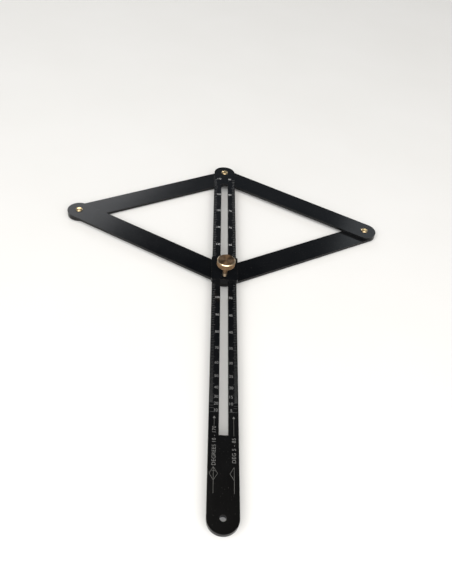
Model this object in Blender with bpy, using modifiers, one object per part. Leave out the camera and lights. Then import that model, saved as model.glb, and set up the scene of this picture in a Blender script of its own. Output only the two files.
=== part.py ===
"""Four-arm bisecting mitre gauge: a slotted rule, four equal pivoted arms and a locking slider.

The origin is the centre of the apex rivet's foot, on the plane the tool lies on. +Z points up out of
the tool's face and the rule runs along -Y. The arms form a rhombus whose far corner slides on the rule.
"""
import math

import bmesh
import bpy

MM = 0.001

# Rhombus of arms: pivot spacing and the included angle between the two upper arms.
ARM_PITCH = 150 * MM
INCLUDED_ANGLE = math.radians(121.5)
ARM_WIDTH = 20.7 * MM
ARM_THICKNESS = 2.2 * MM

# Rule blade, measured along -Y from the apex pivot.
RULE_WIDTH = 20 * MM
RULE_THICKNESS = 2.8 * MM
RULE_HOLE_AT = 362 * MM
HANGING_HOLE_RADIUS = 2.1 * MM
SLOT_WIDTH = 6.2 * MM
SLOT_START = 19.5 * MM
SLOT_END = 305.5 * MM

# Rivets and washers.
RIVET_SHANK_RADIUS = 2.0 * MM
RIVET_HEAD_RADIUS = 3.2 * MM
RIVET_DOME_HEIGHT = 1.2 * MM
RIVET_FOOT_HEIGHT = 0.9 * MM
PIVOT_HOLE_RADIUS = 2.25 * MM
WASHER_RADIUS = 5.0 * MM
WASHER_THICKNESS = 0.2 * MM

# Slider block, measured from the sliding pivot: the reading edge faces the apex.
SLIDER_WIDTH = 21.6 * MM
SLIDER_HEIGHT = 3.8 * MM
READING_EDGE = 13.2 * MM
SLIDER_FRONT = 14.8 * MM
SLIDER_CORNER_RADIUS = 1.6 * MM
SLIDER_CHAMFER = 0.4 * MM
TONGUE_WIDTH = 5.6 * MM
TONGUE_TO_APEX = 5.5 * MM
TONGUE_TO_FRONT = 5.5 * MM
TONGUE_DEPTH = 2.6 * MM
SLIDER_WASHER_RADIUS = 7.0 * MM

# Thumbscrew and the pad it presses on the rule.
SCREW_OFFSET = 9.0 * MM
SCREW_RADIUS = 2.0 * MM
SCREW_HOLE_RADIUS = 2.25 * MM
STEM_LENGTH = 10.6 * MM
KNOB_RADIUS = 7.3 * MM
KNOB_HEIGHT = 5.6 * MM
KNOB_CHAMFER = 0.6 * MM
PAD_LENGTH = 13 * MM
PAD_WIDTH = 6.4 * MM
PAD_THICKNESS = 1.2 * MM
PAD_CORNER_RADIUS = 0.8 * MM
POCKET_SIDE_CLEARANCE = 0.35 * MM
POCKET_LIFT_CLEARANCE = 0.5 * MM

# Gaps between neighbouring pieces and the small chamfer on every cut edge.
STACK_GAP = 0.1 * MM
SLIDE_GAP = 0.3 * MM
EDGE_CHAMFER = 0.25 * MM
ROUND_STEPS = 32

# The stack of layers, from the resting plane up.
BACK_WASHER_Z = RIVET_FOOT_HEIGHT + STACK_GAP
LOWER_ARM_Z = BACK_WASHER_Z + WASHER_THICKNESS + STACK_GAP
ARM_WASHER_Z = LOWER_ARM_Z + ARM_THICKNESS + STACK_GAP
UPPER_ARM_Z = ARM_WASHER_Z + WASHER_THICKNESS + STACK_GAP
RULE_WASHER_Z = UPPER_ARM_Z + ARM_THICKNESS + STACK_GAP
RULE_Z = RULE_WASHER_Z + WASHER_THICKNESS + STACK_GAP
RULE_TOP = RULE_Z + RULE_THICKNESS
SLIDER_Z = RULE_TOP + SLIDE_GAP
SLIDER_TOP = SLIDER_Z + SLIDER_HEIGHT

# Pivot centres of the rhombus.
HALF_ANGLE = INCLUDED_ANGLE / 2
SIDE_X = ARM_PITCH * math.sin(HALF_ANGLE)
SIDE_Y = -ARM_PITCH * math.cos(HALF_ANGLE)
APEX = (0.0, 0.0)
LEFT = (-SIDE_X, SIDE_Y)
RIGHT = (SIDE_X, SIDE_Y)
SLIDING = (0.0, 2 * SIDE_Y)
RIGHT_ARM_HEADING = HALF_ANGLE - math.pi / 2
LEFT_ARM_HEADING = -HALF_ANGLE - math.pi / 2


def clear_scene():
    """Remove every object, so that the file holds only this model."""
    for thing in list(bpy.data.objects):
        bpy.data.objects.remove(thing, do_unlink=True)


def make_collection(name):
    """A new collection linked under the scene."""
    collection = bpy.data.collections.new(name)
    bpy.context.scene.collection.children.link(collection)
    return collection


def make_material(name, colour, metallic, roughness):
    """A Principled BSDF material."""
    material = bpy.data.materials.new(name)
    material.use_nodes = True
    shader = material.node_tree.nodes["Principled BSDF"]
    shader.inputs["Base Color"].default_value = (*colour, 1.0)
    shader.inputs["Metallic"].default_value = metallic
    shader.inputs["Roughness"].default_value = roughness
    return material


def arc(centre, radius, start, end, steps):
    """Points along an arc, both ends included; angles in radians."""
    points = []
    for step in range(steps + 1):
        angle = start + (end - start) * step / steps
        x = centre[0] + radius * math.cos(angle)
        y = centre[1] + radius * math.sin(angle)
        points.append((x, y))
    return points


def circle(centre, radius):
    """A full circle of ROUND_STEPS points."""
    return arc(centre, radius, 0, 2 * math.pi, ROUND_STEPS)[:-1]


def round_ended_bar(length, width):
    """Outline of a bar along +X whose ends are half circles about (0, 0) and (length, 0)."""
    half_turn = ROUND_STEPS // 2
    far_end = arc((length, 0), width / 2, -math.pi / 2, math.pi / 2, half_turn)
    near_end = arc((0, 0), width / 2, math.pi / 2, 3 * math.pi / 2, half_turn)
    return far_end + near_end


def rectangle(x_low, x_high, y_low, y_high):
    """Outline of a square-cornered rectangle."""
    return [(x_low, y_low), (x_high, y_low), (x_high, y_high), (x_low, y_high)]


def rounded_rectangle(x_low, x_high, y_low, y_high, radius):
    """Outline of a rectangle with rounded corners."""
    quarter = ROUND_STEPS // 4
    corners = [
        ((x_high - radius, y_low + radius), -math.pi / 2),
        ((x_high - radius, y_high - radius), 0.0),
        ((x_low + radius, y_high - radius), math.pi / 2),
        ((x_low + radius, y_low + radius), math.pi),
    ]
    points = []
    for centre, start in corners:
        points += arc(centre, radius, start, start + math.pi / 2, quarter)
    return points


def flat_mesh(name, outlines, thickness):
    """A closed mesh from a filled 2D curve: the first outline is the edge, the others are holes."""
    curve = bpy.data.curves.new(name, "CURVE")
    curve.dimensions = "2D"
    curve.fill_mode = "BOTH"
    curve.extrude = thickness / 2
    for outline in outlines:
        spline = curve.splines.new("POLY")
        spline.points.add(len(outline) - 1)
        for point, (x, y) in zip(spline.points, outline):
            point.co = (x, y, thickness / 2, 1)
        spline.use_cyclic_u = True
    holder = bpy.data.objects.new(name, curve)
    bpy.context.scene.collection.objects.link(holder)
    bpy.context.view_layer.update()
    evaluated = holder.evaluated_get(bpy.context.evaluated_depsgraph_get())
    mesh = bpy.data.meshes.new_from_object(evaluated)
    bpy.data.objects.remove(holder, do_unlink=True)
    solid = bmesh.new()
    solid.from_mesh(mesh)
    bmesh.ops.remove_doubles(solid, verts=solid.verts, dist=0.001 * MM)
    lowest = min(vertex.co.z for vertex in solid.verts)
    bmesh.ops.translate(solid, verts=solid.verts, vec=(0, 0, -lowest))
    bmesh.ops.recalc_face_normals(solid, faces=solid.faces)
    solid.to_mesh(mesh)
    solid.free()
    mesh.name = name
    return mesh


def place(name, mesh, material, collection, parent, at, z, heading=0.0):
    """Put a mesh in the assembly at a point of the plan, turned about +Z."""
    thing = bpy.data.objects.new(name, mesh)
    if material is not None:
        mesh.materials.clear()
        mesh.materials.append(material)
    collection.objects.link(thing)
    origin = parent.location if parent is not None else (0, 0, 0)
    thing.parent = parent
    thing.location = (at[0] - origin[0], at[1] - origin[1], z - origin[2])
    thing.rotation_euler = (0, 0, heading)
    return thing


def shade_round(thing):
    """Smooth shading with the sharp edges kept."""
    thing.data.shade_smooth()
    thing.data.set_sharp_from_angle(angle=math.radians(40))


def chamfer(thing, width=EDGE_CHAMFER):
    """Break every sharp edge with one flat."""
    bevel = thing.modifiers.new("edge_chamfer", "BEVEL")
    bevel.width = width
    bevel.segments = 1
    bevel.limit_method = "ANGLE"
    bevel.angle_limit = math.radians(50)


def turned(name, profile, material, collection, parent, at, z=0.0):
    """A turned piece: the profile runs from the axis at the top, down the outer side, to the axis below."""
    mesh = bpy.data.meshes.new(name)
    edges = [(index, index + 1) for index in range(len(profile) - 1)]
    mesh.from_pydata([(radius, 0, height) for radius, height in profile], edges, [])
    thing = place(name, mesh, material, collection, parent, at, z)
    screw = thing.modifiers.new("turn", "SCREW")
    screw.axis = "Z"
    screw.angle = 2 * math.pi
    screw.steps = ROUND_STEPS
    screw.render_steps = ROUND_STEPS
    screw.use_merge_vertices = True
    screw.merge_threshold = 0.01 * MM
    screw.use_smooth_shade = False
    return thing


def cut(thing, cutter, operation="DIFFERENCE"):
    """Boolean with the exact solver."""
    boolean = thing.modifiers.new(cutter.name, "BOOLEAN")
    boolean.object = cutter
    boolean.operation = operation
    boolean.solver = "EXACT"
    cutter.hide_render = True
    cutter.display_type = "WIRE"


def axis_empty(name, at, collection):
    """An empty on a pivot axis, which the moving pieces hang from."""
    empty = bpy.data.objects.new(name, None)
    empty.location = (at[0], at[1], 0)
    collection.objects.link(empty)
    return empty


def make_rule(material, collection):
    """The slotted rule with round ends, a rivet hole at the apex and a hanging hole at the tail."""
    outline = round_ended_bar(RULE_HOLE_AT, RULE_WIDTH)
    holes = [
        circle((0, 0), PIVOT_HOLE_RADIUS),
        circle((RULE_HOLE_AT, 0), HANGING_HOLE_RADIUS),
        rectangle(SLOT_START, SLOT_END, -SLOT_WIDTH / 2, SLOT_WIDTH / 2),
    ]
    mesh = flat_mesh("rule_blade", [outline] + holes, RULE_THICKNESS)
    rule = place("rule_blade", mesh, material, collection, None, APEX, RULE_Z, -math.pi / 2)
    chamfer(rule)
    return rule


def make_arm(name, material, collection, parent, at, z, heading):
    """A flat round-ended arm with a rivet hole at each end; its origin is the pivot it turns on."""
    outline = round_ended_bar(ARM_PITCH, ARM_WIDTH)
    holes = [circle((0, 0), PIVOT_HOLE_RADIUS), circle((ARM_PITCH, 0), PIVOT_HOLE_RADIUS)]
    mesh = flat_mesh(name, [outline] + holes, ARM_THICKNESS)
    arm = place(name, mesh, material, collection, parent, at, z, heading)
    chamfer(arm)
    return arm


def make_washer(name, radius, material, collection, parent, at, z):
    """A flat ring round a rivet."""
    mesh = flat_mesh(name, [circle((0, 0), radius), circle((0, 0), PIVOT_HOLE_RADIUS)], WASHER_THICKNESS)
    return place(name, mesh, material, collection, parent, at, z)


def make_rivet(name, grip_top, material, collection, parent, at):
    """A solid rivet: low domed head above grip_top, plain shank and a flat formed foot on z = 0."""
    head_base = grip_top + STACK_GAP
    sphere_radius = (RIVET_HEAD_RADIUS**2 + RIVET_DOME_HEIGHT**2) / (2 * RIVET_DOME_HEIGHT)
    sphere_centre = head_base + RIVET_DOME_HEIGHT - sphere_radius
    rings = 5
    profile = []
    for ring in range(rings + 1):
        radius = RIVET_HEAD_RADIUS * ring / rings
        profile.append((radius, sphere_centre + math.sqrt(sphere_radius**2 - radius**2)))
    foot_rim = 0.2 * MM
    profile += [
        (RIVET_SHANK_RADIUS, head_base),
        (RIVET_SHANK_RADIUS, RIVET_FOOT_HEIGHT),
        (RIVET_HEAD_RADIUS, RIVET_FOOT_HEIGHT),
        (RIVET_HEAD_RADIUS, foot_rim),
        (RIVET_HEAD_RADIUS - foot_rim, 0),
        (0, 0),
    ]
    return turned(name, profile, material, collection, parent, at)


def make_slider(material, collection, cutters, parent):
    """The slider block with its guide tongue, rivet hole, screw hole and the pocket for the clamp pad."""
    half_width = SLIDER_WIDTH / 2
    outline = rounded_rectangle(-half_width, half_width, -SLIDER_FRONT, READING_EDGE, SLIDER_CORNER_RADIUS)
    block = place(
        "slider_block",
        flat_mesh("slider_block", [outline], SLIDER_HEIGHT),
        material,
        collection,
        parent,
        SLIDING,
        SLIDER_Z,
    )
    chamfer(block, SLIDER_CHAMFER)

    tongue_root = 0.5 * MM
    tongue_outline = rectangle(-TONGUE_WIDTH / 2, TONGUE_WIDTH / 2, -TONGUE_TO_FRONT, TONGUE_TO_APEX)
    tongue_mesh = flat_mesh("tongue", [tongue_outline], TONGUE_DEPTH + SLIDE_GAP + tongue_root)
    tongue_z = RULE_TOP - TONGUE_DEPTH
    tongue = place("tongue", tongue_mesh, None, cutters, parent, SLIDING, tongue_z)
    cut(block, tongue, "UNION")

    screw_at = (SLIDING[0], SLIDING[1] - SCREW_OFFSET)
    pocket_height = SLIDE_GAP + PAD_THICKNESS + POCKET_LIFT_CLEARANCE
    pocket_x = PAD_LENGTH / 2 + POCKET_SIDE_CLEARANCE
    pocket_y = PAD_WIDTH / 2 + POCKET_SIDE_CLEARANCE
    pocket_mesh = flat_mesh("pad_pocket", [rectangle(-pocket_x, pocket_x, -pocket_y, pocket_y)], pocket_height)
    cut(block, place("pad_pocket", pocket_mesh, None, cutters, parent, screw_at, RULE_TOP))

    reach = 10 * MM
    for name, at, radius in (
        ("rivet_hole", SLIDING, PIVOT_HOLE_RADIUS),
        ("screw_hole", screw_at, SCREW_HOLE_RADIUS),
    ):
        mesh = flat_mesh(name, [circle((0, 0), radius)], reach)
        cut(block, place(name, mesh, None, cutters, parent, at, RULE_Z))
    return block


def make_clamp_pad(material, collection, parent):
    """The flat pad under the thumbscrew's tip, which straddles the slot and presses on the rule."""
    half_length = PAD_LENGTH / 2
    half_width = PAD_WIDTH / 2
    outline = rounded_rectangle(-half_length, half_length, -half_width, half_width, PAD_CORNER_RADIUS)
    at = (SLIDING[0], SLIDING[1] - SCREW_OFFSET)
    mesh = flat_mesh("clamp_pad", [outline], PAD_THICKNESS)
    return place("clamp_pad", mesh, material, collection, parent, at, RULE_TOP + SLIDE_GAP)


def make_thumbscrew(material, collection, parent):
    """Turned thumbscrew: a wide plain head with broken edges on a slim stem."""
    tip = RULE_TOP + SLIDE_GAP + PAD_THICKNESS + STACK_GAP
    head_base = SLIDER_TOP + STEM_LENGTH
    head_top = head_base + KNOB_HEIGHT
    tip_chamfer = 0.3 * MM
    fillet = 0.6 * MM
    profile = [
        (0, head_top),
        (KNOB_RADIUS - KNOB_CHAMFER, head_top),
        (KNOB_RADIUS, head_top - KNOB_CHAMFER),
        (KNOB_RADIUS, head_base + KNOB_CHAMFER),
        (KNOB_RADIUS - KNOB_CHAMFER, head_base),
        (SCREW_RADIUS + fillet, head_base),
        (SCREW_RADIUS, head_base - fillet),
        (SCREW_RADIUS, tip + tip_chamfer),
        (SCREW_RADIUS - tip_chamfer, tip),
        (0, tip),
    ]
    at = (SLIDING[0], SLIDING[1] - SCREW_OFFSET)
    return turned("thumbscrew", profile, material, collection, parent, at)


def build():
    """Make every piece and hang the moving ones on their pivots."""
    clear_scene()
    gauge = make_collection("bisecting_mitre_gauge")
    cutters = make_collection("cutters")

    black = make_material("black_anodised", (0.018, 0.02, 0.023), 0.3, 0.38)
    brass = make_material("brass", (0.66, 0.47, 0.24), 1.0, 0.28)
    nylon = make_material("nylon", (0.72, 0.7, 0.64), 0.0, 0.5)
    steel = make_material("steel", (0.5, 0.5, 0.5), 1.0, 0.35)

    apex_axis = axis_empty("apex_axis", APEX, gauge)
    left_axis = axis_empty("left_axis", LEFT, gauge)
    right_axis = axis_empty("right_axis", RIGHT, gauge)
    sliding_axis = axis_empty("sliding_axis", SLIDING, gauge)
    screw_axis = axis_empty("screw_axis", (SLIDING[0], SLIDING[1] - SCREW_OFFSET), gauge)

    make_rule(black, gauge)
    make_arm("upper_arm_left", black, gauge, apex_axis, APEX, LOWER_ARM_Z, LEFT_ARM_HEADING)
    make_arm("upper_arm_right", black, gauge, apex_axis, APEX, UPPER_ARM_Z, RIGHT_ARM_HEADING)
    make_arm("lower_arm_left", black, gauge, left_axis, LEFT, UPPER_ARM_Z, RIGHT_ARM_HEADING)
    make_arm("lower_arm_right", black, gauge, right_axis, RIGHT, LOWER_ARM_Z, LEFT_ARM_HEADING)

    upper_arm_top = UPPER_ARM_Z + ARM_THICKNESS
    for corner, at, axis, grip_top in (
        ("apex", APEX, None, RULE_TOP),
        ("left", LEFT, left_axis, upper_arm_top),
        ("right", RIGHT, right_axis, upper_arm_top),
        ("slider", SLIDING, sliding_axis, SLIDER_TOP),
    ):
        shade_round(make_rivet(corner + "_rivet", grip_top, brass, gauge, axis, at))
        make_washer(corner + "_back_washer", WASHER_RADIUS, steel, gauge, axis, at, BACK_WASHER_Z)
        make_washer(corner + "_arm_washer", WASHER_RADIUS, nylon, gauge, axis, at, ARM_WASHER_Z)
    make_washer("apex_rule_washer", WASHER_RADIUS, nylon, gauge, None, APEX, RULE_WASHER_Z)
    make_washer("slider_rule_washer", SLIDER_WASHER_RADIUS, nylon, gauge, sliding_axis, SLIDING, RULE_WASHER_Z)

    make_slider(black, gauge, cutters, sliding_axis)
    make_clamp_pad(steel, gauge, screw_axis)
    shade_round(make_thumbscrew(brass, gauge, screw_axis))


build()
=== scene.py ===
"""Looks of a four-arm bisecting mitre gauge: finishes, etched scales, turned parts and a studio."""
import math

import bmesh
import bpy
from mathutils import Matrix, Quaternion, Vector


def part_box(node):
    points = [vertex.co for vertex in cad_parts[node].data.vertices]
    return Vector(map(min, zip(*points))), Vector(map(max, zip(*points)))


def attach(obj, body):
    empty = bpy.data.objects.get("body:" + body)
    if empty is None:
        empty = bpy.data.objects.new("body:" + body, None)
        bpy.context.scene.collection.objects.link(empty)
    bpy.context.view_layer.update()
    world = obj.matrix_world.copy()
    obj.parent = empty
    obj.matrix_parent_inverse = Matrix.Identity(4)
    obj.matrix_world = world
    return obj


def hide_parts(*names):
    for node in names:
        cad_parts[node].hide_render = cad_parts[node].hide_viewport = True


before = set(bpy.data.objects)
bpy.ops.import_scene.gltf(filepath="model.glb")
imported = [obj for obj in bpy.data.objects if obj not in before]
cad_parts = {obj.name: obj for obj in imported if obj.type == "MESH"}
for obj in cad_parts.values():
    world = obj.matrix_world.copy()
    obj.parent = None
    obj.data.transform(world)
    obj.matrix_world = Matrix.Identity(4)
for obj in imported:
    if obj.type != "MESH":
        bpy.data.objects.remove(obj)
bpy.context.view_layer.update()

MM = 0.001

# The rhombus of arms and the rule, as the CAD has them.
ARM_PITCH = 150 * MM
ARM_WIDTH = 20.7 * MM
RULE_WIDTH = 20 * MM
RULE_HOLE_AT = 362 * MM
HANGING_HOLE_RADIUS = 2.1 * MM
SLOT_WIDTH = 6.2 * MM
SLOT_START = 19.5 * MM
SLOT_END = 305.5 * MM
SLOT_CORNER_RADIUS = 0.35 * MM
PIVOT_HOLE_RADIUS = 2.25 * MM
RIGHT_ARM_HEADING = math.radians(-29.25)
LEFT_ARM_HEADING = math.radians(-150.75)
RULE_HEADING = math.radians(-90)
READING_EDGE = 13.2 * MM

# Slider block and thumbscrew.
SLIDER_FRONT = 14.8 * MM
SLIDER_CORNER_RADIUS = 1.6 * MM
TONGUE_HALF_WIDTH = 2.8 * MM
TONGUE_TO_APEX = 5.5 * MM
TONGUE_TO_FRONT = 5.5 * MM
TONGUE_CORNER_RADIUS = 0.3 * MM
TONGUE_ROOT = 0.3 * MM
SLIDER_GAP = 0.3 * MM
SCREW_OFFSET = 9.0 * MM
STEM_RADIUS = 2.0 * MM
KNOB_HEIGHT = 5.6 * MM
KNOB_CHAMFER = 0.6 * MM
KNOB_LOWER_CHAMFER = 0.75 * MM
DISH_RADIUS = 5.0 * MM
THREAD_PITCH = 0.7 * MM
THREAD_DEPTH = 0.25 * MM
THREAD_ABOVE_SLIDER = 3.2 * MM
STEM_FILLET = 0.55 * MM
KNURL_TEETH = 84
KNURL_DEPTH = 0.16 * MM

# Rivets.
DOME_HEIGHT = 1.2 * MM
DOME_RIM = 0.5 * MM
SHANK_RADIUS = 1.95 * MM
FOOT_HEIGHT = 0.9 * MM

# Rounded edges of the cut plates, and facets of the visible shapes.
PLATE_EDGE = 0.28 * MM
BLOCK_EDGE = 0.4 * MM
TONGUE_EDGE = 0.1 * MM
HALF_TURN_STEPS = 64
LATHE_STEPS = 96

# Scale marks.
MARK_LIFT = 0.012 * MM
MARK_DEPTH = 0.02 * MM
TICK_WIDTH = 0.16 * MM
TICK_LENGTH = 2.2 * MM
FIVE_DEGREE_TICK_LENGTH = 3.0 * MM
TEN_DEGREE_TICK_LENGTH = 2.6 * MM
TICK_MARGIN = 0.35 * MM
EVERY_DEGREE_FROM = 25
LINE_WIDTH = 0.24 * MM
DIGIT_HEIGHT = 2.35 * MM
DIGIT_SQUEEZE = 0.92
THREE_DIGIT_SQUEEZE = 0.8
LABEL_X = 5.15 * MM
LABEL_LIFT = 1.75 * MM

# Legends and symbols on the tail, measured from the apex pivot.
CLOSING_LINE = -287.4 * MM
CLOSING_LINE_INNER_X = 3.6 * MM
CLOSING_LABEL_LIFT = 1.45 * MM
LEFT_COLUMN_X = -6.2 * MM
RIGHT_COLUMN_X = 6.75 * MM
ARROW_TIP = -290.6 * MM
ARROW_SIZE = 1.9 * MM
ARROW_SHAFT_TOP = -292.4 * MM
LEGEND_HEIGHT = 2.5 * MM
RHOMBUS_TOP = -328.5 * MM
RHOMBUS_CROSSING = -331.4 * MM
RHOMBUS_SIDE = -333.2 * MM
RHOMBUS_FOOT = -337.7 * MM
RHOMBUS_REACH = 2.6 * MM
RHOMBUS_TAIL = -346.4 * MM

# Camera, fitted to the photograph's viewpoint.
CAMERA_AT = (-0.02957, -0.53599, 0.35653)
CAMERA_PITCH = math.radians(43.707)
CAMERA_ROLL = math.radians(7.711)
CAMERA_YAW = math.radians(5.702)
CAMERA_SENSOR_MM = 36
CAMERA_LENS_MM = 38.888
CAMERA_SHIFT = (-0.01073, 0.00539)
FLOOR_HALF_SIZE = 12.0
FLOOR_GAP = 0.2 * MM


# ---------------------------------------------------------------- shader graph helpers


def feed(tree, socket, value):
    """Link a socket to another, or set its value."""
    if isinstance(value, bpy.types.NodeSocket):
        tree.links.new(value, socket)
    else:
        socket.default_value = value


def node(tree, kind, inputs, **settings):
    """Add a shader node with its settings and inputs."""
    new = tree.nodes.new("ShaderNode" + kind)
    for key, value in settings.items():
        setattr(new, key, value)
    for key, value in inputs.items():
        feed(tree, new.inputs[key], value)
    return new


def calc(tree, operation, first, second):
    """A math node's output."""
    return node(tree, "Math", {0: first, 1: second}, operation=operation).outputs[0]


def plus(tree, first, second):
    """The sum of two values."""
    return calc(tree, "ADD", first, second)


def times(tree, first, second):
    """The product of two values."""
    return calc(tree, "MULTIPLY", first, second)


def remap(tree, value, low, high, to_low=0.0, to_high=1.0):
    """Map low..high to to_low..to_high, clamped."""
    span = {"From Min": low, "From Max": high, "To Min": to_low, "To Max": to_high}
    return node(tree, "MapRange", {"Value": value, **span}).outputs[0]


def blend_colour(tree, factor, first, second):
    """Mix two colours."""
    mixer = node(tree, "Mix", {0: factor, 6: first, 7: second}, data_type="RGBA")
    return mixer.outputs[2]


def rgb(red, green, blue):
    """A colour with full alpha."""
    return (red, green, blue, 1.0)


def noise(tree, vector, scale, detail=2.0, roughness=0.5):
    """Noise texture value."""
    inputs = {"Vector": vector, "Scale": scale, "Detail": detail, "Roughness": roughness}
    return node(tree, "TexNoise", inputs).outputs[0]


def line_noise(tree, value, detail):
    """One-dimensional noise along a value."""
    inputs = {"W": value, "Scale": 1.0, "Detail": detail}
    return node(tree, "TexNoise", inputs, noise_dimensions="1D").outputs[0]


def mapped(tree, vector, **changes):
    """Coordinates after a mapping node's Location, Rotation and Scale."""
    return node(tree, "Mapping", {"Vector": vector, **changes}).outputs[0]


def component(tree, vector, axis):
    """One component of a vector."""
    return node(tree, "SeparateXYZ", {0: vector}).outputs[axis]


def dot_product(tree, first, second):
    """The dot product of two vectors."""
    inputs = {0: first, 1: second}
    return node(tree, "VectorMath", inputs, operation="DOT_PRODUCT").outputs["Value"]


def add_bump(tree, shader, height, strength, distance):
    """Fine relief on the shader's normal."""
    inputs = {"Strength": strength, "Distance": distance, "Height": height}
    feed(tree, shader.inputs["Normal"], node(tree, "Bump", inputs).outputs[0])


def new_material(name):
    """A material and its tree, shader and object coordinates."""
    material = bpy.data.materials.new(name)
    material.use_nodes = True
    tree = material.node_tree
    shader = tree.nodes["Principled BSDF"]
    coordinates = node(tree, "TexCoord", {}).outputs["Object"]
    return material, tree, shader, coordinates


def edge_mask(tree, radius):
    """Near 1 on sharp edges and 0 on flats."""
    rounded = node(tree, "Bevel", {"Radius": radius}, samples=6).outputs[0]
    normal = node(tree, "NewGeometry", {}).outputs["Normal"]
    return remap(tree, dot_product(tree, rounded, normal), 0.995, 0.9)


# ---------------------------------------------------------------- finishes


def black_finish(name, heading, shift):
    """Satin black anodised plate, brushed along its heading, with rubbed edges whose pale colour is
    partly a painted edge highlight, and smudges.

    shift moves the texture, so that no two plates carry the same marks.
    """
    material, tree, shader, coordinates = new_material(name)
    turned = mapped(tree, coordinates, Rotation=(0, 0, -heading), Location=(shift, 0, 0))
    brushed = noise(tree, mapped(tree, turned, Scale=(45, 2600, 400)), 1.0, 3.0)
    smudges = noise(tree, turned, 32.0, 4.0, 0.6)
    handling = noise(tree, turned, 140.0, 3.0)
    grain = noise(tree, turned, 5200.0, 2.0)
    specks = remap(tree, noise(tree, turned, 1500.0, 1.0), 0.73, 0.78)

    tone = plus(tree, times(tree, smudges, 0.7), times(tree, brushed, 0.3))
    tone = remap(tree, tone, 0.36, 0.64)
    deep_black = rgb(0.0022, 0.0026, 0.0034)
    soft_black = rgb(0.0052, 0.0056, 0.0064)
    base = blend_colour(tree, tone, deep_black, soft_black)
    base = blend_colour(tree, times(tree, specks, 0.35), base, rgb(0.12, 0.115, 0.105))

    # Edges are painted paler. This is partly rubbed bare metal and partly a painted highlight along
    # the edges.
    edge_patches = remap(tree, noise(tree, turned, 420.0, 3.0, 0.65), 0.42, 0.62)
    edge_wear_and_highlight = times(tree, edge_mask(tree, 0.35 * MM), edge_patches)
    edge_wear_and_highlight = times(tree, edge_wear_and_highlight, 0.35)
    base = blend_colour(tree, edge_wear_and_highlight, base, rgb(0.19, 0.165, 0.135))
    feed(tree, shader.inputs["Base Color"], base)
    feed(tree, shader.inputs["Metallic"], times(tree, edge_wear_and_highlight, 0.9))

    rough = remap(tree, smudges, 0.3, 0.7, 0.14, 0.155)
    rough = plus(tree, rough, remap(tree, handling, 0.35, 0.7, -0.006, 0.012))
    rough = plus(tree, rough, remap(tree, brushed, 0.3, 0.7, -0.01, 0.012))
    feed(tree, shader.inputs["Roughness"], rough)
    shader.inputs["Specular IOR Level"].default_value = 0.22
    shader.inputs["Anisotropic"].default_value = 0.25

    height = plus(tree, times(tree, grain, 0.5), times(tree, brushed, 0.5))
    add_bump(tree, shader, height, 0.22, 0.01 * MM)
    return material


def brass_finish(name, colour, tarnish, ring_strength, roughness, grooved, low_down_height):
    """Turned brass with fine rings about its own axis, bevels painted paler (partly polish, partly
    a painted rim highlight), and darker low down.

    grooved is the anisotropy of the rings, and low_down_height is where the darkening is half gone.
    """
    material, tree, shader, coordinates = new_material(name)
    flat = mapped(tree, coordinates, Scale=(1, 1, 0))
    radius = node(tree, "VectorMath", {0: flat}, operation="LENGTH").outputs["Value"]
    rings = line_noise(tree, times(tree, radius, 4200.0), 3.0)
    height = component(tree, coordinates, "Z")
    bands = line_noise(tree, times(tree, height, 5200.0), 2.0)
    patches = noise(tree, coordinates, 260.0, 4.0, 0.6)
    fine = noise(tree, coordinates, 2600.0, 2.0)
    dull = remap(tree, patches, 0.38, 0.72, 0.0, 0.75)
    base = blend_colour(tree, dull, colour, tarnish)
    # Edges and chamfers are painted paler. This is partly polished metal and partly a painted rim
    # highlight.
    bright = rgb(*(min(1.0, 1.4 * channel) for channel in colour[:3]))
    edge_polish_and_highlight = times(tree, edge_mask(tree, 0.25 * MM), 0.6)
    base = blend_colour(tree, edge_polish_and_highlight, base, bright)
    slope = component(tree, node(tree, "NewGeometry", {}).outputs["Normal"], "Z")
    bevel = times(tree, remap(tree, slope, 0.25, 0.4), remap(tree, slope, 0.94, 0.88))
    base = blend_colour(tree, times(tree, bevel, 0.8), base, rgb(0.9, 0.72, 0.48))
    # Darker and rougher towards the bottom, below low_down_height.
    low_down_mask = remap(tree, height, low_down_height + 1.2 * MM, low_down_height - 1.2 * MM)
    base = blend_colour(tree, times(tree, low_down_mask, 0.85), base, rgb(0.1, 0.075, 0.055))
    feed(tree, shader.inputs["Base Color"], base)
    shader.inputs["Metallic"].default_value = 1.0
    rough = remap(tree, patches, 0.35, 0.7, roughness, roughness + 0.06)
    rough = plus(tree, rough, remap(tree, fine, 0.3, 0.7, -0.03, 0.03))
    rough = plus(tree, rough, times(tree, bevel, 0.14 - roughness))
    rough = plus(tree, rough, times(tree, low_down_mask, 0.2))
    feed(tree, shader.inputs["Roughness"], rough)
    shader.inputs["Anisotropic"].default_value = grooved
    shader.inputs["Anisotropic Rotation"].default_value = 0.25
    tangent = node(tree, "Tangent", {}, direction_type="RADIAL", axis="Z")
    feed(tree, shader.inputs["Tangent"], tangent.outputs[0])
    relief = plus(tree, rings, times(tree, bands, 0.6))
    add_bump(tree, shader, relief, ring_strength, 0.02 * MM)
    return material


def steel_finish():
    """Plain bright steel with fine random scratches."""
    material, tree, shader, coordinates = new_material("washer_steel")
    scratches = noise(tree, mapped(tree, coordinates, Scale=(300, 4000, 300)), 1.0, 3.0)
    patches = noise(tree, coordinates, 400.0, 3.0)
    base = blend_colour(tree, patches, rgb(0.5, 0.5, 0.5), rgb(0.36, 0.35, 0.34))
    feed(tree, shader.inputs["Base Color"], base)
    shader.inputs["Metallic"].default_value = 1.0
    feed(tree, shader.inputs["Roughness"], remap(tree, scratches, 0.3, 0.7, 0.26, 0.44))
    add_bump(tree, shader, scratches, 0.2, 0.01 * MM)
    return material


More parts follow.
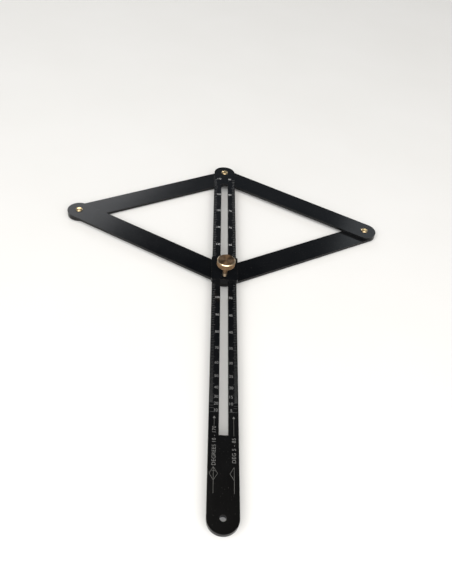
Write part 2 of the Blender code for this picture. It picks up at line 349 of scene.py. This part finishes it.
def nylon_finish():
    """Slightly translucent nylon with a moulded surface and picked-up grime."""
    material, tree, shader, coordinates = new_material("washer_nylon")
    grime = remap(tree, noise(tree, coordinates, 350.0, 4.0), 0.45, 0.7)
    moulded = noise(tree, coordinates, 3000.0, 2.0)
    base = blend_colour(tree, grime, rgb(0.55, 0.53, 0.47), rgb(0.24, 0.22, 0.19))
    feed(tree, shader.inputs["Base Color"], base)
    feed(tree, shader.inputs["Roughness"], remap(tree, moulded, 0.3, 0.7, 0.42, 0.58))
    shader.inputs["Subsurface Weight"].default_value = 0.15
    shader.inputs["Subsurface Scale"].default_value = 0.5 * MM
    add_bump(tree, shader, moulded, 0.2, 0.02 * MM)
    return material


def mark_finish(name, dark, pale, tail_fade):
    """Laser-etched marks: pale bare metal, a little uneven, rubbed fainter towards the tail."""
    material, tree, shader, coordinates = new_material(name)
    uneven = noise(tree, coordinates, 900.0, 3.0)
    faded = noise(tree, coordinates, 60.0, 3.0)
    tone = plus(tree, times(tree, uneven, 0.5), times(tree, faded, 0.5))
    base = blend_colour(tree, remap(tree, tone, 0.35, 0.65), dark, pale)
    along = component(tree, coordinates, "Y")
    rubbed = remap(tree, along, -130 * MM, -235 * MM, 0.0, tail_fade)
    base = blend_colour(tree, rubbed, base, rgb(0.03, 0.03, 0.029))
    feed(tree, shader.inputs["Base Color"], base)
    shader.inputs["Metallic"].default_value = 0.25
    feed(tree, shader.inputs["Roughness"], remap(tree, uneven, 0.3, 0.7, 0.5, 0.7))
    add_bump(tree, shader, uneven, 0.25, 0.01 * MM)
    return material


# ---------------------------------------------------------------- shapes


def arc(centre, radius, start, end, steps):
    """Points along an arc, both ends included."""
    points = []
    for step in range(steps + 1):
        angle = start + (end - start) * step / steps
        points.append((centre[0] + radius * math.cos(angle), centre[1] + radius * math.sin(angle)))
    return points


def circle(centre, radius, steps=HALF_TURN_STEPS):
    """A closed circle's points."""
    return arc(centre, radius, 0, 2 * math.pi, steps)[:-1]


def round_bar(length, width):
    """Outline of a bar along +X with half-round ends about (0, 0) and (length, 0)."""
    quarter = math.pi / 2
    return arc((length, 0), width / 2, -quarter, quarter, HALF_TURN_STEPS) + arc(
        (0, 0), width / 2, quarter, 3 * quarter, HALF_TURN_STEPS
    )


def rounded_box(x_low, x_high, y_low, y_high, radius, steps=8):
    """Outline of a rectangle with rounded corners."""
    quarter = math.pi / 2
    corners = [
        ((x_high - radius, y_low + radius), -quarter),
        ((x_high - radius, y_high - radius), 0.0),
        ((x_low + radius, y_high - radius), quarter),
        ((x_low + radius, y_low + radius), 2 * quarter),
    ]
    points = []
    for centre, start in corners:
        points += arc(centre, radius, start, start + quarter, steps)
    return points


def evaluated_mesh(holder):
    """The mesh of a temporary object with its modifiers. The object itself is removed."""
    bpy.context.scene.collection.objects.link(holder)
    bpy.context.view_layer.update()
    graph = bpy.context.evaluated_depsgraph_get()
    mesh = bpy.data.meshes.new_from_object(holder.evaluated_get(graph))
    bpy.data.objects.remove(holder, do_unlink=True)
    return mesh


def weld(mesh, reach):
    """Merge points that stand within reach and turn all faces outwards."""
    solid = bmesh.new()
    solid.from_mesh(mesh)
    bmesh.ops.remove_doubles(solid, verts=solid.verts, dist=reach)
    bmesh.ops.recalc_face_normals(solid, faces=solid.faces)
    solid.to_mesh(mesh)
    solid.free()


def flat_mesh(outlines, thickness, edge_width):
    """A closed plate on z = 0 from an outline and its holes, its edges rounded over edge_width."""
    curve = bpy.data.curves.new("outline", "CURVE")
    curve.dimensions = "2D"
    curve.fill_mode = "BOTH"
    curve.extrude = thickness / 2
    for outline in outlines:
        spline = curve.splines.new("POLY")
        spline.points.add(len(outline) - 1)
        for point, (x, y) in zip(spline.points, outline):
            point.co = (x, y, 0, 1)
        spline.use_cyclic_u = True
    plate = evaluated_mesh(bpy.data.objects.new("outline", curve))
    weld(plate, 0.001 * MM)
    plate.transform(Matrix.Translation((0, 0, thickness / 2)))
    block = bpy.data.objects.new("block", plate)
    bevel = block.modifiers.new("edges", "BEVEL")
    bevel.width = edge_width
    bevel.segments = 3
    bevel.limit_method = "ANGLE"
    bevel.angle_limit = math.radians(50)
    return evaluated_mesh(block)


def lathe(profile, steps=LATHE_STEPS, shape=None):
    """A closed turned solid from a (radius, height) profile that starts and ends on the axis.

    shape(radius, height, angle) may change the radius round the turn.
    """
    solid = bmesh.new()
    rows = []
    for radius, height in profile:
        if radius == 0:
            rows.append([solid.verts.new((0, 0, height))])
            continue
        row = []
        for step in range(steps):
            angle = 2 * math.pi * step / steps
            reach = shape(radius, height, angle) if shape else radius
            row.append(solid.verts.new((reach * math.cos(angle), reach * math.sin(angle), height)))
        rows.append(row)
    for upper, lower in zip(rows, rows[1:]):
        for step in range(steps):
            after = (step + 1) % steps
            corners = [upper[step % len(upper)], lower[step % len(lower)]]
            corners += [lower[after % len(lower)], upper[after % len(upper)]]
            unique = list(dict.fromkeys(corners))
            if len(unique) > 2:
                solid.faces.new(unique)
    bmesh.ops.recalc_face_normals(solid, faces=solid.faces)
    mesh = bpy.data.meshes.new("turned")
    solid.to_mesh(mesh)
    solid.free()
    return mesh


def join_meshes(meshes):
    """One mesh holding several shells."""
    joined = bmesh.new()
    for mesh in meshes:
        joined.from_mesh(mesh)
    result = bpy.data.meshes.new("joined")
    joined.to_mesh(result)
    joined.free()
    return result


def place(name, mesh, material, body, at=(0, 0, 0)):
    """Make a piece of a mesh and let it ride on its CAD body."""
    mesh.name = name
    mesh.materials.clear()
    mesh.materials.append(material)
    piece = bpy.data.objects.new(name, mesh)
    bpy.context.scene.collection.objects.link(piece)
    piece.location = at
    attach(piece, body)
    return piece


def add_piece(name, mesh, material, body, replaced, at, heading=0.0, sharp=40):
    """Place a smooth-shaded piece that shows in place of a CAD node."""
    mesh.transform(Matrix.Rotation(heading, 4, "Z"))
    mesh.shade_smooth()
    mesh.set_sharp_from_angle(angle=math.radians(sharp))
    piece = place(name, mesh, material, body, at)
    normals = piece.modifiers.new("flat_faces_stay_flat", "WEIGHTED_NORMAL")
    normals.keep_sharp = True
    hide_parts(replaced)


# ---------------------------------------------------------------- pieces


def pivot_of(node_name):
    """Centre of a CAD node seen from above, on z = 0."""
    low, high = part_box(node_name)
    return Vector(((low.x + high.x) / 2, (low.y + high.y) / 2, 0))


def build_plates():
    """The rule and the four arms, with rounded edges and smooth round ends."""
    rule_low, rule_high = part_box("rule_blade")
    holes = [
        circle((0, 0), PIVOT_HOLE_RADIUS),
        circle((RULE_HOLE_AT, 0), HANGING_HOLE_RADIUS),
        rounded_box(
            SLOT_START, SLOT_END, -SLOT_WIDTH / 2, SLOT_WIDTH / 2, SLOT_CORNER_RADIUS, steps=4
        ),
    ]
    outline = round_bar(RULE_HOLE_AT, RULE_WIDTH)
    add_piece(
        "slotted_rule",
        flat_mesh([outline] + holes, rule_high.z - rule_low.z, PLATE_EDGE),
        black_finish("rule_black", RULE_HEADING, 0.3),
        "rule",
        "rule_blade",
        (0, 0, rule_low.z),
        RULE_HEADING,
    )

    apex = Vector((0, 0, 0))
    left = pivot_of("left_rivet")
    right = pivot_of("right_rivet")
    arms = (
        ("upper_arm_left", "upper_left", apex, LEFT_ARM_HEADING, 1.1),
        ("upper_arm_right", "upper_right", apex, RIGHT_ARM_HEADING, 2.3),
        ("lower_arm_left", "lower_left", left, RIGHT_ARM_HEADING, 3.7),
        ("lower_arm_right", "lower_right", right, LEFT_ARM_HEADING, 5.2),
    )
    for node_name, body, pivot, heading, shift in arms:
        low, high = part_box(node_name)
        outlines = [
            round_bar(ARM_PITCH, ARM_WIDTH),
            circle((0, 0), PIVOT_HOLE_RADIUS),
            circle((ARM_PITCH, 0), PIVOT_HOLE_RADIUS),
        ]
        add_piece(
            node_name + "_plate",
            flat_mesh(outlines, high.z - low.z, PLATE_EDGE),
            black_finish(node_name + "_black", heading, shift),
            body,
            node_name,
            (pivot.x, pivot.y, low.z),
            heading,
        )


def build_rivets(material):
    """Low domed rivets with a rolled rim, a plain shank and a flared foot."""
    bodies = {"apex": "rule", "left": "upper_left", "right": "upper_right", "slider": "slider"}
    rings = 14
    rim_steps = 4
    bend = DOME_RIM / 2
    for corner, body in bodies.items():
        node_name = corner + "_rivet"
        low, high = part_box(node_name)
        head_radius = (high.x - low.x) / 2
        head_base = high.z - DOME_HEIGHT
        foot_top = low.z + FOOT_HEIGHT
        profile = []
        for ring in range(rings + 1):
            share = ring / rings
            radius = (head_radius - bend) * share
            profile.append((radius, high.z - (DOME_HEIGHT - DOME_RIM) * share**5))
        for step in range(1, rim_steps + 1):
            angle = math.pi / 2 * (1 - step / rim_steps)
            reach = head_radius - bend + bend * math.cos(angle)
            profile.append((reach, head_base + bend + bend * math.sin(angle)))
        profile += [
            (head_radius - 0.15 * MM, head_base),
            (SHANK_RADIUS, head_base),
            (SHANK_RADIUS, foot_top),
            (head_radius - 0.1 * MM, foot_top),
            (head_radius, low.z + 0.7 * MM),
            (head_radius, low.z + 0.3 * MM),
            (head_radius - 0.3 * MM, low.z),
            (1.3 * MM, low.z),
            (0.9 * MM, low.z + 0.25 * MM),
            (0, low.z + 0.35 * MM),
        ]
        add_piece(
            node_name + "_turned",
            lathe(profile),
            material,
            body,
            node_name,
            pivot_of(node_name),
        )


def build_slider(material):
    """The slider block with rounded corners and the tongue that runs in the slot."""
    low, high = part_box("slider_block")
    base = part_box("rule_blade")[1].z + SLIDER_GAP
    half_width = (high.x - low.x) / 2
    rivet_hole = circle((0, 0), PIVOT_HOLE_RADIUS)
    screw_hole = circle((0, -SCREW_OFFSET), PIVOT_HOLE_RADIUS)
    outline = rounded_box(
        -half_width, half_width, -SLIDER_FRONT, READING_EDGE, SLIDER_CORNER_RADIUS, steps=12
    )
    block = flat_mesh([outline, rivet_hole, screw_hole], high.z - base, BLOCK_EDGE)
    block.transform(Matrix.Translation((0, 0, base)))
    guide = rounded_box(
        -TONGUE_HALF_WIDTH,
        TONGUE_HALF_WIDTH,
        -TONGUE_TO_FRONT,
        TONGUE_TO_APEX,
        TONGUE_CORNER_RADIUS,
        steps=4,
    )
    tongue = flat_mesh([guide, rivet_hole], base - low.z + TONGUE_ROOT, TONGUE_EDGE)
    tongue.transform(Matrix.Translation((0, 0, low.z)))
    add_piece(
        "slider_plate",
        join_meshes([block, tongue]),
        material,
        "slider",
        "slider_block",
        pivot_of("slider_rivet"),
    )


def build_thumbscrew(material):
    """Turned thumbscrew: knurled head with broken edges, plain stem and a threaded end."""
    low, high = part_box("thumbscrew")
    radius = (high.x - low.x) / 2
    top = high.z
    base = top - KNOB_HEIGHT
    side_top = top - KNOB_CHAMFER
    side_base = base + KNOB_LOWER_CHAMFER
    runout = 0.35 * MM

    def knurl(reach, height, angle):
        """Straight teeth on the side only, fading out at its ends."""
        if reach < radius - 0.05 * MM:
            return reach
        inside = min(1.0, (side_top - height) / runout, (height - side_base) / runout)
        wave = 0.5 - 0.5 * math.cos(angle * KNURL_TEETH)
        return reach - KNURL_DEPTH * wave * max(0.0, inside)

    chamfer_start = radius - KNOB_CHAMFER
    profile = [
        (0, top - 0.06 * MM),
        (DISH_RADIUS * 0.5, top - 0.045 * MM),
        (DISH_RADIUS, top - 0.02 * MM),
        (chamfer_start - 0.25 * MM, top),
        (chamfer_start - 0.08 * MM, top - 0.02 * MM),
        (chamfer_start + 0.08 * MM, top - 0.13 * MM),
        (radius - 0.13 * MM, side_top + 0.08 * MM),
        (radius - 0.02 * MM, side_top - 0.08 * MM),
    ]
    rows = 12
    for row in range(rows + 1):
        height = side_top - 0.12 * MM - (side_top - side_base - 0.24 * MM) * row / rows
        profile.append((radius, height))
    profile += [
        (radius - 0.02 * MM, side_base + 0.08 * MM),
        (radius - 0.13 * MM, side_base - 0.08 * MM),
        (radius - KNOB_LOWER_CHAMFER, base),
        (STEM_RADIUS - 0.1 * MM, base),
        (0, base),
    ]
    head = lathe(profile, KNURL_TEETH * 6, knurl)

    thread_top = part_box("slider_block")[1].z + THREAD_ABOVE_SLIDER
    tip = low.z

    def helix(reach, height, angle):
        """V thread that fades out at both ends."""
        if height > thread_top or height < tip + 0.15 * MM:
            return reach
        phase = (height / THREAD_PITCH - angle / (2 * math.pi)) % 1.0
        depth = THREAD_DEPTH * (1 - abs(2 * phase - 1))
        fade = min(1.0, (thread_top - height) / THREAD_PITCH, (height - tip) / (0.4 * MM))
        return reach - depth * fade

    stem_root = base + 0.4 * MM
    stem = [(0, stem_root), (STEM_RADIUS + STEM_FILLET, stem_root)]
    fillet_steps = 6
    for step in range(fillet_steps + 1):
        angle = math.pi / 2 * step / fillet_steps
        reach = STEM_RADIUS + STEM_FILLET * (1 - math.sin(angle))
        stem.append((reach, base - STEM_FILLET * (1 - math.cos(angle))))
    stem.append((STEM_RADIUS, thread_top + 0.1 * MM))
    rows_per_turn = 10
    count = int((thread_top - tip) / THREAD_PITCH * rows_per_turn)
    threaded = thread_top - tip - 0.3 * MM
    for row in range(count + 1):
        stem.append((STEM_RADIUS, thread_top - threaded * row / count))
    stem += [(STEM_RADIUS - 0.3 * MM, tip), (0, tip)]
    screw = lathe(stem, LATHE_STEPS // 2, helix)
    add_piece(
        "knurled_thumbscrew",
        join_meshes([head, screw]),
        material,
        "thumbscrew",
        "thumbscrew",
        pivot_of("thumbscrew"),
        sharp=32,
    )


# ---------------------------------------------------------------- scale marks


def scale_line(included_angle):
    """Where the slider's reading edge stands on the rule at an included angle in degrees."""
    return -(2 * ARM_PITCH * math.cos(math.radians(included_angle) / 2) - READING_EDGE)


def add_mark(solid, corners):
    """A mark MARK_DEPTH thick with its face on z = 0, from its corners counted anticlockwise."""
    lower = [solid.verts.new((x, y, -MARK_DEPTH)) for x, y in corners]
    upper = [solid.verts.new((x, y, 0)) for x, y in corners]
    solid.faces.new(upper)
    solid.faces.new(lower[::-1])
    for index in range(len(corners)):
        after = (index + 1) % len(corners)
        solid.faces.new((lower[index], lower[after], upper[after], upper[index]))


def add_bar(solid, start, end, width):
    """A thin straight mark from start to end."""
    start = Vector(start)
    end = Vector(end)
    along = end - start
    across = Vector((-along.y, along.x)).normalized() * width / 2
    add_mark(solid, [start - across, end - across, end + across, start + across])


def add_arrow_head(solid, x, tip, size):
    """A filled arrow head that points along +Y."""
    add_mark(solid, [(x, tip), (x - size / 2, tip - size), (x + size / 2, tip - size)])


def text_mesh(words, height, spacing=1.0):
    """Lettering MARK_DEPTH thick about its own centre, with its face on z = 0."""
    curve = bpy.data.curves.new("lettering", "FONT")
    curve.body = words
    curve.size = 1.0
    curve.space_character = spacing
    curve.align_x = "CENTER"
    curve.align_y = "CENTER"
    curve.resolution_u = 4
    half_depth = 0.5
    curve.extrude = half_depth
    mesh = evaluated_mesh(bpy.data.objects.new("lettering", curve))
    across = [vertex.co.x for vertex in mesh.vertices]
    upward = [vertex.co.y for vertex in mesh.vertices]
    face_centre = Vector(
        ((max(across) + min(across)) / 2, (max(upward) + min(upward)) / 2, half_depth)
    )
    scale = height / (max(upward) - min(upward))
    resized = Matrix.Diagonal((scale, scale, MARK_DEPTH, 1))
    mesh.transform(resized @ Matrix.Translation(-face_centre))
    weld(mesh, 0.0005 * MM)
    return mesh


def stamp(solid, mesh, x, y, turn=0.0, squeeze=1.0):
    """Add lettering to a set of marks, narrowed by squeeze and then turned about +Z."""
    narrowed = Matrix.Diagonal((squeeze, 1, 1, 1))
    moved = Matrix.Translation((x, y, 0))
    mesh.transform(moved @ Matrix.Rotation(turn, 4, "Z") @ narrowed)
    solid.from_mesh(mesh)


def place_marks(name, solid, material):
    """Turn a set of marks into one piece whose face stands just proud of the rule."""
    mesh = bpy.data.meshes.new(name)
    solid.to_mesh(mesh)
    solid.free()
    rule_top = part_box("rule_blade")[1].z
    mesh.transform(Matrix.Translation((0, 0, rule_top + MARK_LIFT)))
    mesh.shade_flat()
    place(name, mesh, material, "rule")


def build_ticks(material):
    """One-degree marks along both edges, drawn every fifth degree where they would run together."""
    ticks = bmesh.new()
    edge = RULE_WIDTH / 2 - TICK_MARGIN
    for angle in range(15, 171):
        if angle < EVERY_DEGREE_FROM and angle % 5:
            continue
        length = TICK_LENGTH
        if angle % 5 == 0:
            length = FIVE_DEGREE_TICK_LENGTH
        if angle % 10 == 0:
            length = TEN_DEGREE_TICK_LENGTH
        y = scale_line(angle)
        add_bar(ticks, (-edge, y), (-edge + length, y), TICK_WIDTH)
        add_bar(ticks, (edge - length, y), (edge, y), TICK_WIDTH)
    inner = CLOSING_LINE_INNER_X
    add_bar(ticks, (-edge, CLOSING_LINE), (-inner, CLOSING_LINE), TICK_WIDTH)
    add_bar(ticks, (inner, CLOSING_LINE), (edge, CLOSING_LINE), TICK_WIDTH)
    place_marks("scale_ticks", ticks, material)


def build_numbers(material):
    """Included angles down the left and half angles down the right, every ten degrees."""
    numbers = bmesh.new()
    for angle in range(10, 180, 10):
        y = scale_line(angle) + LABEL_LIFT
        if angle == 10:
            y = CLOSING_LINE + CLOSING_LABEL_LIFT
        squeeze = THREE_DIGIT_SQUEEZE if angle >= 100 else DIGIT_SQUEEZE
        half_angle = angle // 2
        stamp(numbers, text_mesh(str(angle), DIGIT_HEIGHT), -LABEL_X, y, squeeze=squeeze)
        stamp(numbers, text_mesh(str(half_angle), DIGIT_HEIGHT), LABEL_X, y, squeeze=DIGIT_SQUEEZE)
    place_marks("scale_numbers", numbers, material)


def build_legends(material):
    """An arrow head and a generic legend for each scale, to be read from the right."""
    legends = bmesh.new()
    for x in (LEFT_COLUMN_X, RIGHT_COLUMN_X):
        add_arrow_head(legends, x, ARROW_TIP, ARROW_SIZE)
    for words, spacing, x, y in (
        ("DEGREES 10 - 170", 1.06, LEFT_COLUMN_X, -313.1 * MM),
        ("DEG 5 - 85", 1.12, RIGHT_COLUMN_X, -316.5 * MM),
    ):
        stamp(legends, text_mesh(words, LEGEND_HEIGHT, spacing), x, y, turn=math.pi / 2)
    place_marks("scale_legends", legends, material)


def build_symbols(material):
    """Arrow shafts, a crossed rhombus for the included angle and half of one for the half angle."""
    signs = bmesh.new()

    def half_rhombus(x, reach):
        """Two sides of a rhombus about x."""
        add_bar(signs, (x, RHOMBUS_TOP), (x + reach, RHOMBUS_SIDE), LINE_WIDTH)
        add_bar(signs, (x + reach, RHOMBUS_SIDE), (x, RHOMBUS_FOOT), LINE_WIDTH)

    for x, shaft_foot in ((LEFT_COLUMN_X, -297.8 * MM), (RIGHT_COLUMN_X, -306.0 * MM)):
        add_bar(signs, (x, ARROW_SHAFT_TOP), (x, shaft_foot), LINE_WIDTH)
        add_bar(signs, (x, RHOMBUS_TOP), (x, RHOMBUS_TAIL), LINE_WIDTH)
        half_rhombus(x, -RHOMBUS_REACH)
    half_rhombus(LEFT_COLUMN_X, RHOMBUS_REACH)
    crossing_half = 1.1 * MM
    add_bar(
        signs,
        (LEFT_COLUMN_X - crossing_half, RHOMBUS_CROSSING),
        (LEFT_COLUMN_X + crossing_half, RHOMBUS_CROSSING),
        LINE_WIDTH,
    )
    place_marks("scale_symbols", signs, material)


# ---------------------------------------------------------------- studio


def build_floor():
    """A plain pale flat floor just under the gauge."""
    mesh = bpy.data.meshes.new("floor")
    half = FLOOR_HALF_SIZE
    corners = [(-half, -half, 0), (half, -half, 0), (half, half, 0), (-half, half, 0)]
    mesh.from_pydata(corners, [], [(0, 1, 2, 3)])
    floor = bpy.data.objects.new("floor", mesh)
    floor.location = (0, 0, -FLOOR_GAP)
    bpy.context.scene.collection.objects.link(floor)
    material, tree, shader, coordinates = new_material("floor_pale")
    mottle = noise(tree, coordinates, 9.0, 2.0)
    base = blend_colour(tree, mottle, rgb(0.8, 0.8, 0.79), rgb(0.84, 0.84, 0.84))
    feed(tree, shader.inputs["Base Color"], base)
    shader.inputs["Roughness"].default_value = 0.7
    mesh.materials.append(material)


def add_softbox(name, at, target, size, watts, colour, roll=0):
    """A rectangular area light aimed at a point and rolled about its own axis, in degrees."""
    light = bpy.data.lights.new(name, "AREA")
    light.shape = "RECTANGLE"
    light.size, light.size_y = size
    light.energy = watts
    light.color = colour
    lamp = bpy.data.objects.new(name, light)
    lamp.location = at
    aim = (Vector(target) - Vector(at)).to_track_quat("-Z", "Y")
    lamp.rotation_euler = (aim @ Quaternion((0, 0, 1), math.radians(roll))).to_euler()
    bpy.context.scene.collection.objects.link(lamp)


def build_lights():
    """A broad soft key at the front, and weak far softboxes for the sheen on the arms' ends."""
    add_softbox(
        "key",
        at=(-0.17, -1.33, 1.25),
        target=(0, -0.15, 0),
        size=(2.2, 1.2),
        watts=37,
        colour=(1.0, 0.985, 0.96),
    )
    add_softbox(
        "left_back",
        at=(-0.68, 2.45, 1.51),
        target=(-0.1, -0.075, 0),
        size=(1.28, 0.84),
        watts=9.0,
        colour=(0.97, 0.98, 1.0),
        roll=41,
    )
    add_softbox(
        "right_back",
        at=(1.23, 2.14, 1.68),
        target=(0.1, -0.08, 0),
        size=(0.84, 0.63),
        watts=2.2,
        colour=(0.92, 0.97, 1.0),
    )


def build_surround():
    """World light: bright at the front, dim at the back with a glow low down and high up."""
    world = bpy.data.worlds.new("surround")
    bpy.context.scene.world = world
    world.use_nodes = True
    tree = world.node_tree
    background = tree.nodes["Background"]
    direction = node(tree, "TexCoord", {}).outputs["Generated"]
    front_share = remap(tree, dot_product(tree, direction, (0, -0.94, 0.34)), 0.0, 0.6)
    height = component(tree, direction, "Z")
    warm_top = remap(tree, height, 0.7, 0.88)
    back = blend_colour(tree, warm_top, rgb(0.8, 0.88, 1.0), rgb(1.0, 0.75, 0.35))
    colour = blend_colour(tree, front_share, back, rgb(1.0, 0.985, 0.96))
    feed(tree, background.inputs["Color"], colour)
    low_glow = remap(tree, height, 0.59, 0.67, 0.25, 0.05)
    high_glow = remap(tree, height, 0.72, 0.9, 0.0, 0.13)
    strength = calc(tree, "MAXIMUM", plus(tree, low_glow, high_glow), front_share)
    feed(tree, background.inputs["Strength"], strength)


def build_camera():
    """The camera looks down on the gauge from in front of the rule's tail."""
    level = Vector((math.cos(CAMERA_YAW), -math.sin(CAMERA_YAW), 0))
    ahead = Vector((math.sin(CAMERA_YAW), math.cos(CAMERA_YAW), 0))
    forward = ahead * math.cos(CAMERA_PITCH) - Vector((0, 0, math.sin(CAMERA_PITCH)))
    upright = level.cross(forward)
    right = level * math.cos(CAMERA_ROLL) + upright * math.sin(CAMERA_ROLL)
    up = upright * math.cos(CAMERA_ROLL) - level * math.sin(CAMERA_ROLL)
    data = bpy.data.cameras.new("camera")
    data.sensor_width = CAMERA_SENSOR_MM
    data.lens = CAMERA_LENS_MM
    data.shift_x, data.shift_y = CAMERA_SHIFT
    data.clip_start = 0.01
    data.clip_end = 20
    camera = bpy.data.objects.new("camera", data)
    camera_axes = Matrix((right, up, -forward)).transposed().to_4x4()
    camera.matrix_world = Matrix.Translation(CAMERA_AT) @ camera_axes
    bpy.context.scene.collection.objects.link(camera)
    bpy.context.scene.camera = camera


def build_gauge():
    """Every visible piece of the gauge."""
    rivet_brass = brass_finish(
        "rivet_brass",
        colour=rgb(0.93, 0.7, 0.36),
        tarnish=rgb(0.82, 0.56, 0.27),
        ring_strength=0.04,
        roughness=0.18,
        grooved=0.2,
        low_down_height=0.0,
    )
    knob_brass = brass_finish(
        "knob_brass",
        colour=rgb(0.245, 0.155, 0.088),
        tarnish=rgb(0.165, 0.104, 0.058),
        ring_strength=0.06,
        roughness=0.38,
        grooved=0.9,
        low_down_height=17 * MM,
    )
    build_plates()
    build_rivets(rivet_brass)
    build_slider(black_finish("slider_black", 0.0, 7.9))
    build_thumbscrew(knob_brass)
    build_ticks(
        mark_finish("etched_ticks", rgb(0.25, 0.255, 0.255), rgb(0.34, 0.345, 0.35), 0.72)
    )
    build_numbers(
        mark_finish("etched_numbers", rgb(0.45, 0.455, 0.455), rgb(0.62, 0.625, 0.63), 0.7)
    )
    build_legends(
        mark_finish("etched_legends", rgb(0.15, 0.15, 0.147), rgb(0.23, 0.23, 0.225), 0.25)
    )
    build_symbols(
        mark_finish("etched_symbols", rgb(0.11, 0.11, 0.105), rgb(0.19, 0.19, 0.18), 0.3)
    )


def finish_cad_pieces():
    """Give the washers and the pad, which keep their CAD shapes, their materials."""
    steel = steel_finish()
    nylon = nylon_finish()
    for node_name, node_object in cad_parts.items():
        if node_name.endswith("washer") or node_name == "clamp_pad":
            is_steel = "back" in node_name or node_name == "clamp_pad"
            node_object.data.materials.clear()
            node_object.data.materials.append(steel if is_steel else nylon)


build_gauge()
finish_cad_pieces()
build_floor()
build_lights()
build_surround()
build_camera()
bpy.context.scene.view_settings.view_transform = "Standard"
